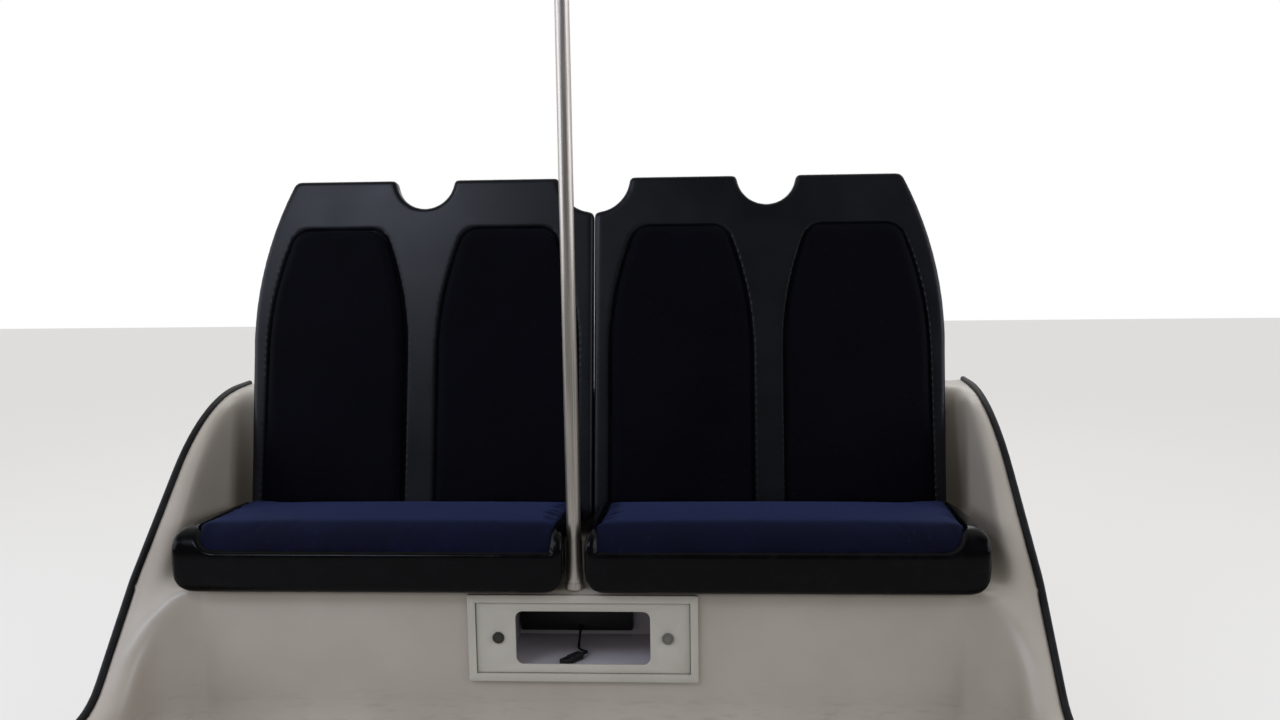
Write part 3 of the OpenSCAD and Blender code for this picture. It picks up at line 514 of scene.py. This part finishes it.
def laminated_board():
    # Phenolic-faced birch board: mid grey face with a faint mottle and a low sheen.
    m, shader = finish_named("laminated_board", "#8b8781", 0.55, {"IOR": 1.5})
    place = add(m, "ShaderNodeNewGeometry").outputs["Position"]
    mottle = add(m, "ShaderNodeTexNoise", {"Vector": place, "Scale": per_metre(8.33), "Detail": 5.0})
    tone = add(m, "ShaderNodeValToRGB", {
        "Fac": mottle.outputs["Fac"]}, stops=[(0.35, "#827e78"), (0.7, "#96928b")])
    fill(shader, {"Base Color": tone.outputs["Color"]})
    return m


def zinc_plated_steel():
    # Zinc-plated fasteners: bright bluish metal, blotched by handling.
    m, shader = finish_named("zinc_plated_steel", "#a9acb1", 0.3, {"Metallic": 1.0})
    place = add(m, "ShaderNodeNewGeometry").outputs["Position"]
    blotch = add(m, "ShaderNodeTexNoise", {"Vector": place, "Scale": per_metre(3.85), "Detail": 3.0})
    tone = add(m, "ShaderNodeValToRGB", {
        "Fac": blotch.outputs["Fac"]}, stops=[(0.35, "#8e9094"), (0.7, "#bcbfc4")])
    fill(shader, {"Base Color": tone.outputs["Color"]})
    return m


GELCOAT = gelcoat_on_glass_fibre()
COVER_COAT = powder_coat("powder_coat_light_grey", "#a19d92", "#a8a499", 0.42)
BRACKET_COAT = powder_coat("powder_coat_black", "#151515", "#1d1d1d", 0.5)
BLACK_ABS = polished_black_abs()
SHELL_PP = moulded_abs("grained_charcoal_polypropylene", "#06070b", "#0c0d13", 0.36, 1.6, 0.22, 0.22)
RECESS_ABS = moulded_abs("grained_grey_abs", "#aca7ab", "#b5b0b4", 0.5, 1.6, 0.15)
BOX_ABS = moulded_abs("grained_black_abs", "#0e0d0d", "#151414", 0.48, 1.4, 0.15)
LOCK_DARK = moulded_abs("black_nylon", "#25241f", "#2e2d27", 0.5, 1.2, 0.1)
LOCK_GREY = moulded_abs("grey_nylon", "#5b5a54", "#65645d", 0.5, 1.2, 0.1)
SEAT_CLOTH = woven_moquette("navy_moquette", "#030410", "#070a21", "#090d25", 0.36)
# The pads' cloth is the seat moquette made darker and nearly without sheen: painted shade for the backlit
# pads, not a darker dye
SHADED_PAD_CLOTH = woven_moquette("navy_moquette_painted_shade", "#010105", "#03030a", "#05060e", 0.03)
RUBBER = extruded_rubber()
LEAD_PVC = moulded_abs("black_pvc_sheath", "#111112", "#181819", 0.45, 1.0, 0.05)
STAINLESS = brushed_stainless()
ALUMINIUM = extruded_aluminium()
BOARD = laminated_board()
ZINC = zinc_plated_steel()


def clothe(piece, material):
    """The material all over a piece or a CAD node."""
    if piece.material_slots:
        for held in piece.material_slots:
            held.material = material
    else:
        piece.data.materials.append(material)


clothe(lead, LEAD_PVC)
clothe(plug, BOX_ABS)

# Hard parts that keep their CAD shape
CARRIED = {
    "front_wall": GELCOAT, "seat_deck": GELCOAT, "back_wall": GELCOAT,
    "bulkheads": BOARD, "floor_rails": ALUMINIUM, "recess_box": RECESS_ABS,
    "hatch_frame": COVER_COAT, "hatch_cover": COVER_COAT, "cable_box": BOX_ABS,
    "deck_brackets": BRACKET_COAT, "sill_brackets": BRACKET_COAT,
    "grab_pole": STAINLESS, "pole_foot": STAINLESS, "pole_head": STAINLESS,
}
for name, material in CARRIED.items():
    clothe(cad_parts[name], material)

# Radius in millimetres of the edges that catch the light
BROKEN_EDGES = {
    "hatch_frame": 1.5, "hatch_cover": 0.8, "cable_box": 0.8, "deck_brackets": 0.8, "sill_brackets": 0.8,
    "bulkheads": 0.8, "floor_rails": 0.6, "pole_head": 0.8,
}
for name, radius in BROKEN_EDGES.items():
    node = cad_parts[name]
    weld = node.modifiers.new("weld", "WELD")
    weld.merge_threshold = 0.01 * MM
    rounded(node, radius * MM)


# Moulded and soft forms, worked out from the CAD shapes
def welded_copy(*nodes):
    """One mesh with the nodes' shapes, their split corners joined."""
    built = bmesh.new()
    for name in nodes:
        built.from_mesh(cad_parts[name].data)
    bmesh.ops.remove_doubles(built, verts=built.verts, dist=0.02 * MM)
    bmesh.ops.recalc_face_normals(built, faces=built.faces)
    mesh = bpy.data.meshes.new(nodes[0] + "_copy")
    built.to_mesh(mesh)
    built.free()
    mesh.materials.clear()
    return mesh


def smooth_where_soft(mesh, angle):
    """Smooth shading, with the edges that turn by more than the angle kept sharp."""
    built = bmesh.new()
    built.from_mesh(mesh)
    for face in built.faces:
        face.smooth = True
    for edge in built.edges:
        edge.smooth = len(edge.link_faces) == 2 and edge.calc_face_angle(0) < math.radians(angle)
    built.to_mesh(mesh)
    built.free()


def remeshed(mesh, voxel, shrink=0.0, smoothing=0):
    """An even grid of faces over a closed shape, first drawn in by shrink, and smoothed."""
    made = scratch("grid", mesh)
    if shrink:
        inward = made.modifiers.new("in", "DISPLACE")
        inward.strength = -shrink
        inward.mid_level = 0.0
    grid = made.modifiers.new("grid", "REMESH")
    grid.mode = "VOXEL"
    grid.voxel_size = voxel
    grid.use_smooth_shade = True
    if smoothing:
        soft = made.modifiers.new("soft", "SMOOTH")
        soft.factor = 0.5
        soft.iterations = smoothing
    result = evaluated(made)
    drop(made)
    return result


def linked_points(start, seen):
    """All points that edges link to the start."""
    group, stack = [], [start]
    seen.add(start.index)
    while stack:
        at = stack.pop()
        group.append(at)
        for edge in at.link_edges:
            other = edge.other_vert(at)
            if other.index not in seen:
                seen.add(other.index)
                stack.append(other)
    return group


def largest_part(mesh):
    """Drops loose bits that a remesh left inside."""
    built = bmesh.new()
    built.from_mesh(mesh)
    built.verts.ensure_lookup_table()
    seen = set()
    groups = [linked_points(start, seen) for start in built.verts if start.index not in seen]
    groups.sort(key=len, reverse=True)
    for group in groups[1:]:
        bmesh.ops.delete(built, geom=group, context="VERTS")
    built.to_mesh(mesh)
    built.free()
    return mesh


def tree_of(*nodes):
    """A search tree over the shapes of CAD nodes."""
    mesh = welded_copy(*nodes)
    tree = BVHTree.FromPolygons([v.co for v in mesh.vertices], [tuple(f.vertices) for f in mesh.polygons])
    bpy.data.meshes.remove(mesh)
    return tree


def away_from(tree, points):
    """How far each point lies from the tree's surface."""
    return np.array([tree.find_nearest(Vector(p))[3] for p in points])


def soft_step(x):
    """Rises smoothly from 0 to 1."""
    x = np.clip(x, 0.0, 1.0)
    return x * x * (3 - 2 * x)


def mirrored(mesh):
    """The same piece on the other side of the bench."""
    twin = mesh.copy()
    twin.transform(Matrix.Scale(-1, 4, (1, 0, 0)))
    twin.flip_normals()
    return twin


# Back shells: moulded edges that catch a line of light
SHELL_GRID = 4.5 * MM
SHELL_SMOOTHING = 3
SHELL_FACES_KEPT = 0.35


def back_shell(side):
    node = f"back_shell_{side}"
    mesh = largest_part(remeshed(welded_copy(node), SHELL_GRID, smoothing=SHELL_SMOOTHING))
    shell = in_scene(f"{node}_skin", mesh, stands_for=[node])
    clothe(shell, SHELL_PP)
    lighter(shell, SHELL_FACES_KEPT)


for side in ("left", "right"):
    back_shell(side)

# Console ends: the wing and the turned corner under it are one moulding
END_GRID = 5.5 * MM
END_SMOOTHING = 60
END_CREASE = 50
# An edge lies on a joint with a neighbour within this, and the skin's points take its place
JOINT_NEAR = 0.6 * MM
CORNER_STEP = 1 * MM
CORNER_PULL = 0.75
# The skin keeps to the CAD shape so far from a joint, and is fully soft so much further on
JOINT_KEPT = 2 * MM
JOINT_FADE = 30 * MM


def joint_corners(built, joints):
    """Points along the sharp edges that lie on a joint."""
    corners = []
    for edge in built.edges:
        if len(edge.link_faces) != 2 or edge.calc_face_angle(0) < math.radians(END_CREASE):
            continue
        a, b = (v.co for v in edge.verts)
        if all(joints.find_nearest(end)[3] < JOINT_NEAR for end in (a, b)):
            steps = max(1, int((b - a).length / CORNER_STEP))
            corners += [a.lerp(b, i / steps) for i in range(steps + 1)]
    return corners


def tree_of_points(points):
    tree = KDTree(len(points))
    for i, point in enumerate(points):
        tree.insert(point, i)
    tree.balance()
    return tree


def laid_up(nodes, neighbours):
    """One skin over several nodes, its creases softened as laid-up fibre softens them, while its
    joints with the neighbours stay where they are."""
    source = welded_copy(*nodes)
    joints = tree_of(*neighbours)
    built = bmesh.new()
    built.from_mesh(source)
    shape = BVHTree.FromBMesh(built)
    corners = tree_of_points(joint_corners(built, joints))
    built.free()
    crisp = largest_part(remeshed(source.copy(), END_GRID))
    soft = largest_part(remeshed(source, END_GRID, smoothing=END_SMOOTHING))
    place = []
    for vertex in crisp.vertices:
        corner, _, far = corners.find(vertex.co)
        place.append(corner if corner and far < CORNER_PULL * END_GRID else shape.find_nearest(vertex.co)[0])
    place = np.array([tuple(p) for p in place])
    free = soft_step((away_from(joints, place) - JOINT_KEPT) / JOINT_FADE)[:, None]
    softened = place + (coordinates(soft) - place) * free
    bpy.data.meshes.remove(soft)
    return moved_to(crisp, softened)


def console_end(side, mesh):
    name = f"console_end_{side}"
    mesh.name = name
    smooth_where_soft(mesh, END_CREASE)
    end = in_scene(name, mesh, stands_for=["wing_" + side, "corner_" + side])
    clothe(end, GELCOAT)


end_mesh = laid_up(["wing_right", "corner_right"], ["seat_deck", "front_wall", "back_wall", "seal_right"])
for side, mesh in (("right", end_mesh), ("left", mirrored(end_mesh))):
    console_end(side, mesh)

# Edging: a soft bulb round the lip that it grips, but not wider than the bench's own width
SEAL_BULGE = 2.6 * MM
SEAL_GRID = 2.5 * MM
SEAL_SMOOTHING = 9
SEAL_FACES_KEPT = 0.6


def edging_mesh():
    mesh = largest_part(remeshed(
        welded_copy("seal_right"), SEAL_GRID, shrink=-SEAL_BULGE, smoothing=SEAL_SMOOTHING))
    place = coordinates(mesh)
    low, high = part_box("seal_right")
    place[:, 0] = np.minimum(place[:, 0], high.x)
    place[:, 1] = np.clip(place[:, 1], low.y, high.y)
    return moved_to(mesh, place)


def edging(side, mesh):
    name = f"seal_{side}_strip"
    mesh.name = name
    strip = in_scene(name, mesh, stands_for=["seal_" + side])
    clothe(strip, RUBBER)
    lighter(strip, SEAL_FACES_KEPT)


strip_mesh = edging_mesh()
for side, mesh in (("right", strip_mesh), ("left", mirrored(strip_mesh))):
    edging(side, mesh)

# Upholstery: thin cloth over foam, as the simulation takes it
CLOTH = {
    "quality": 5, "mass": 0.3, "tension_stiffness": 15, "compression_stiffness": 15, "shear_stiffness": 5,
    "bending_stiffness": 0.5, "use_pressure": True, "uniform_pressure_force": 4.0,
}
CLOTH_FRAMES = 20


def swollen(mesh, cap):
    """Cloth under inner pressure, each point held within cap of its start."""
    start = coordinates(mesh)
    made = scratch("cloth", mesh)
    cloth = made.modifiers.new("cloth", "CLOTH")
    for setting, value in CLOTH.items():
        setattr(cloth.settings, setting, value)
    cloth.settings.effector_weights.gravity = 0
    cloth.collision_settings.use_collision = False
    for number in range(1, CLOTH_FRAMES + 1):
        scene.frame_set(number)
    result = evaluated(made)
    made.modifiers.clear()
    scene.frame_set(1)
    moved = coordinates(result) - start
    length = np.linalg.norm(moved, axis=1, keepdims=True)
    moved *= np.minimum(1.0, cap / np.maximum(length, 1e-9))
    drop(made)
    return moved_to(result, start + moved)


def cloth_cover(name, mesh, node, material, faces_kept):
    """A cloth piece, subdivided once and thinned where it is flat."""
    mesh.name = name
    cover = in_scene(name, mesh, stands_for=[node])
    clothe(cover, material)
    shade_smooth(mesh)
    finer = cover.modifiers.new("finer", "SUBSURF")
    finer.levels = finer.render_levels = 1
    lighter(cover, faces_kept)
    return cover


# Seat pan: its whole rounded body, sunk under the cloth, so that the cloth sits in a well with a
# lip in front and a cheek at each end
PAN_GRID = 4.5 * MM
PAN_SMOOTHING = 24
PAN_FACES_KEPT = 0.6
WELL_DEPTH = 10 * MM
WELL_START = 1.5 * MM
WELL_SLOPE = 12 * MM
pan_tree = tree_of("pan_right")


def pan_mesh():
    mesh = largest_part(remeshed(
        welded_copy("pan_right", "cushion_right"), PAN_GRID, smoothing=PAN_SMOOTHING))
    place = coordinates(mesh)
    sunk = soft_step((away_from(pan_tree, place) - WELL_START) / WELL_SLOPE) * WELL_DEPTH
    return moved_to(mesh, place - normals(mesh) * sunk[:, None])


# Seat cushion: the foam's shape with rounder free edges, crowned on top and pulled into small
# puckers where the cloth turns down into the pan, then swollen as cloth under pressure
CUSHION_GRID = 5.5 * MM
CUSHION_ROOM = 4 * MM
CUSHION_SMOOTHING = 8
CUSHION_SWELLS = 6 * MM
CUSHION_FACES_KEPT = 0.38
CROWN = 6 * MM
# How flat the crown is along the bench, where 1 is a parabola
CROWN_FLATNESS = 0.6
PUCKER = 1.6 * MM
PUCKER_SIZE = 22 * MM
PUCKER_START = 5 * MM
PUCKER_REACH = 45 * MM
WATERFALL_SMOOTHING = 70
WATERFALL_START = 12 * MM
WATERFALL_REACH = 22 * MM


def foam(smoothing):
    return largest_part(remeshed(
        welded_copy("cushion_right"), CUSHION_GRID, shrink=CUSHION_ROOM, smoothing=smoothing))


def cushion_mesh():
    low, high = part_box("cushion_right")
    mesh = foam(CUSHION_SMOOTHING)
    softer = foam(WATERFALL_SMOOTHING)
    place = coordinates(mesh)
    free = soft_step((away_from(pan_tree, place) - WATERFALL_START) / WATERFALL_REACH)
    place += (coordinates(softer) - place) * free[:, None]
    bpy.data.meshes.remove(softer)
    out = normals(moved_to(mesh, place))
    u = (place[:, 0] - low.x) / (high.x - low.x)
    v = (place[:, 1] - low.y) / (high.y - low.y)
    along = np.clip(1 - (2 * u - 1) ** 2, 0, 1) ** CROWN_FLATNESS
    crown = CROWN * along * np.clip(1 - (2 * v - 1) ** 2, 0, 1)
    place[:, 2] += crown * soft_step(out[:, 2] * 1.6 - 0.4)
    edge = soft_step(1 - (away_from(pan_tree, place) - PUCKER_START) / PUCKER_REACH)
    ripple = np.array([noise.noise(Vector(p) / PUCKER_SIZE) for p in place])
    place += out * (PUCKER * ripple * edge)[:, None]
    return swollen(moved_to(mesh, place), CUSHION_SWELLS)


def double_seat(side, pan_form, cushion_form):
    """A pan and the cushion in it."""
    name = f"pan_{side}_moulding"
    pan_form.name = name
    pan = in_scene(name, pan_form, stands_for=["pan_" + side])
    clothe(pan, BLACK_ABS)
    lighter(pan, PAN_FACES_KEPT)
    cushion = cloth_cover(
        f"cushion_{side}_cover", cushion_form, f"cushion_{side}",
        SEAT_CLOTH, CUSHION_FACES_KEPT)


right_forms = (pan_mesh(), cushion_mesh())
left_forms = tuple(mirrored(form) for form in right_forms)
double_seat("right", *right_forms)
double_seat("left", *left_forms)

# Back pads: one shape, four places
PAD_GRID = 5 * MM
PAD_ROOM = 3 * MM
PAD_SWELLS = 5 * MM
PAD_FACES_KEPT = 0.28
PAD_MODEL = 3


def middle_x(node):
    low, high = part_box(node)
    return (low.x + high.x) / 2


def back_pad(number, mesh):
    node = f"back_pad_{number}"
    form = mesh.copy()
    form.transform(Matrix.Translation((middle_x(node) - middle_x(f"back_pad_{PAD_MODEL}"), 0, 0)))
    pad = cloth_cover(f"{node}_cover", form, node, SHADED_PAD_CLOTH, PAD_FACES_KEPT)


pad_form = largest_part(remeshed(welded_copy(f"back_pad_{PAD_MODEL}"), PAD_GRID, shrink=PAD_ROOM))
pad_form = swollen(pad_form, PAD_SWELLS)
for number in (1, 2, 3, 4):
    back_pad(number, pad_form)

# Quarter-turn locks of the service cover: a domed head with a round dish in it. Each row is
# millimetres in from the rim and out from the cover.
LOCK_PROFILE = [
    (3, -4), (3, 0), (0, 0), (0, 1.8), (0.4, 2.6), (1.2, 3.0), (2.6, 2.9), (3.2, 1.9), (4.4, 1.9), (4.8, 2.6),
]
LOCK_MIDDLE = (1 * MM, 2.6 * MM)
LOCK_CREASE = 40
cover_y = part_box("hatch_cover")[0].y
lock_low, lock_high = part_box("hatch_locks")
lock_r = (lock_high.z - lock_low.z) / 2
lock_z = (lock_high.z + lock_low.z) / 2


def lock(side, x, material):
    outline = [(lock_r - inwards * MM, outwards * MM) for inwards, outwards in LOCK_PROFILE] + [LOCK_MIDDLE]
    name = f"lock_{side}_head"
    mesh = turned_mesh(name, outline, (x, cover_y, lock_z), (0, -1, 0))
    head = in_scene(name, mesh, body="cover", stands_for=["hatch_locks"])
    smooth_where_soft(mesh, LOCK_CREASE)
    clothe(head, material)


lock("left", lock_low.x + lock_r, LOCK_DARK)
lock("right", lock_high.x - lock_r, LOCK_GREY)

# Bolts and screws: a hexagon head, with or without a washer
WASHER_T = 1.4 * MM
WASHER_RIM = 1.0 * MM
HEAD_CENTRE = 1 * MM


def hex_bolt(name, at, axis, across, height, washer=True):
    axis = Vector(axis).normalized()
    r = across / 2 / math.cos(math.pi / 6)
    lift = WASHER_T if washer else 0.0
    forms = []
    if washer:
        disc = [(r * 1.25, 0.0), (r * 1.25, WASHER_RIM), (r * 1.2, WASHER_T), (HEAD_CENTRE, WASHER_T)]
        forms.append(turned_mesh(name, disc, at, axis, 24))
    top = lift + height
    head = [(r, lift), (r, lift + height * 0.8), (r * 0.86, top), (HEAD_CENTRE, top)]
    forms.append(turned_mesh(name, head, at, axis, 6))
    merged = bmesh.new()
    for form in forms:
        merged.from_mesh(form)
    mesh = bpy.data.meshes.new(name)
    merged.to_mesh(mesh)
    merged.free()
    shade_smooth(mesh, False)
    clothe(in_scene(name, mesh), ZINC)


# Sill bolts, through the brackets that hold the shells to the back wall's sill
BRACKET_INSET = 168 * MM
BRACKET_T = 5 * MM
BOLT_INSET = 22 * MM
BOLT_ACROSS, BOLT_H = 13 * MM, 6 * MM
sill_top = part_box("back_wall")[1].z + BRACKET_T
bolt_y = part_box("sill_brackets")[1].y - BOLT_INSET
shell_low, shell_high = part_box("back_shell_right")
inner_x, outer_x = shell_low.x + BRACKET_INSET, shell_high.x - BRACKET_INSET
for number, x in enumerate((-outer_x, -inner_x, inner_x, outer_x)):
    hex_bolt(f"sill_bolt_{number}", (x, bolt_y, sill_top), (0, 0, 1), BOLT_ACROSS, BOLT_H)

# Ceiling screws, in the holes of the pole's flange
SCREW_CIRCLE_R = 30 * MM
SCREW_ACROSS, SCREW_H = 10 * MM, 4 * MM
head_low, head_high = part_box("pole_head")
pole_centre = (head_low + head_high) / 2
for number in range(4):
    a = math.radians(45 + 90 * number)
    x = pole_centre.x + SCREW_CIRCLE_R * math.cos(a)
    y = pole_centre.y + SCREW_CIRCLE_R * math.sin(a)
    at = (x, y, head_low.z)
    hex_bolt(f"ceiling_screw_{number}", at, (0, 0, -1), SCREW_ACROSS, SCREW_H, washer=False)

# Floor: pale, and shown to the camera a little more evenly than the lamps light it
FLOOR_HALF = 9
FLOOR_COLOUR = "#cbc9c6"
FLOOR_SEEN_COLOUR = "#7f7e7d"
FLOOR_GLOW_COLOUR = "#fdfcfa"
FLOOR_GLOW = 0.56


def studio_floor():
    corners = [(-FLOOR_HALF, -FLOOR_HALF, 0), (FLOOR_HALF, -FLOOR_HALF, 0),
               (FLOOR_HALF, FLOOR_HALF, 0), (-FLOOR_HALF, FLOOR_HALF, 0)]
    floor = scratch("floor", mesh_of("floor", corners, [(0, 1, 2, 3)], smooth=False))
    m, shader = finish_named("studio_floor", FLOOR_COLOUR, 0.8, {"Specular IOR Level": 0.2})
    seen = add(m, "ShaderNodeLightPath").outputs["Is Camera Ray"]
    tone = add(m, "ShaderNodeMix", {
        "Factor": seen, "A": linear(FLOOR_COLOUR), "B": linear(FLOOR_SEEN_COLOUR)}, data_type="RGBA")
    glow = add(m, "ShaderNodeMath", {0: seen, 1: FLOOR_GLOW}, operation="MULTIPLY")
    fill(shader, {
        "Base Color": tone.outputs["Result"],
        "Emission Color": linear(FLOOR_GLOW_COLOUR), "Emission Strength": glow.outputs["Value"]})
    clothe(floor, m)


# World: soft light that comes mostly from above, and for the camera, gloss and glass a white
# backdrop behind the bench, which gloss and glass see dimmer towards the front
SKY_BELOW, SKY_ABOVE = 0.27, 0.8
GLOSS_FRONT, GLOSS_BACK = 0.16, 1.0
BACKDROP = 1.0


def studio_world():
    world = bpy.data.worlds.new("studio")
    scene.world = world
    world.use_nodes = True
    sky = world.node_tree.nodes["Background"]
    around = add(world, "ShaderNodeTexCoord").outputs["Generated"]
    way = add(world, "ShaderNodeSeparateXYZ", {"Vector": around})
    lighting = add(world, "ShaderNodeMapRange", {
        "Value": way.outputs["Z"], "From Min": -0.3, "From Max": 0.9,
        "To Min": SKY_BELOW, "To Max": SKY_ABOVE})
    reflected = add(world, "ShaderNodeMapRange", {
        "Value": way.outputs["Y"], "From Min": -0.3, "From Max": 0.3,
        "To Min": GLOSS_FRONT, "To Max": GLOSS_BACK})
    rays = add(world, "ShaderNodeLightPath")
    mirror = add(world, "ShaderNodeMath", {
        0: rays.outputs["Is Glossy Ray"], 1: rays.outputs["Is Transmission Ray"]}, operation="MAXIMUM")
    unseen = add(world, "ShaderNodeMix", {
        "Factor": mirror.outputs["Value"], "A": lighting.outputs["Result"], "B": reflected.outputs["Result"]})
    level = add(world, "ShaderNodeMix", {
        "Factor": rays.outputs["Is Camera Ray"], "A": unseen.outputs["Result"], "B": BACKDROP})
    fill(sky, {"Color": linear("#ffffff"), "Strength": level.outputs["Result"]})


# Lamps: name, place, what it is aimed at, width and height, watts, colour
LAMPS = [
    ("softbox_left", (-3.0, -0.9, 1.7), (0, 0, 0.6), (2.6, 1.6), 50, "#e9eeff"),
    ("softbox_right", (3.1, -0.9, 1.7), (0, 0, 0.6), (2.4, 1.6), 44, "#eef1ff"),
    ("softbox_back", (0.2, 3.0, 2.6), (0, 0.2, 0.9), (3.4, 1.2), 32, "#ffffff"),
    ("softbox_ceiling", (-1.4, -2.1, 2.6), (-0.5, 0.1, 0.95), (0.9, 0.6), 24, "#dfe8ff"),
]


def lamp(name, at, target, size, watts, colour):
    data = bpy.data.lights.new(name, "AREA")
    data.shape = "RECTANGLE"
    data.size, data.size_y = size
    data.energy = watts
    data.color = linear(colour)[:3]
    made = bpy.data.objects.new(name, data)
    made.location = at
    made.rotation_euler = (Vector(target) - Vector(at)).to_track_quat("-Z", "Y").to_euler()
    scene.collection.objects.link(made)


studio_floor()
studio_world()
for row in LAMPS:
    lamp(*row)

scene.view_settings.view_transform = "Standard"
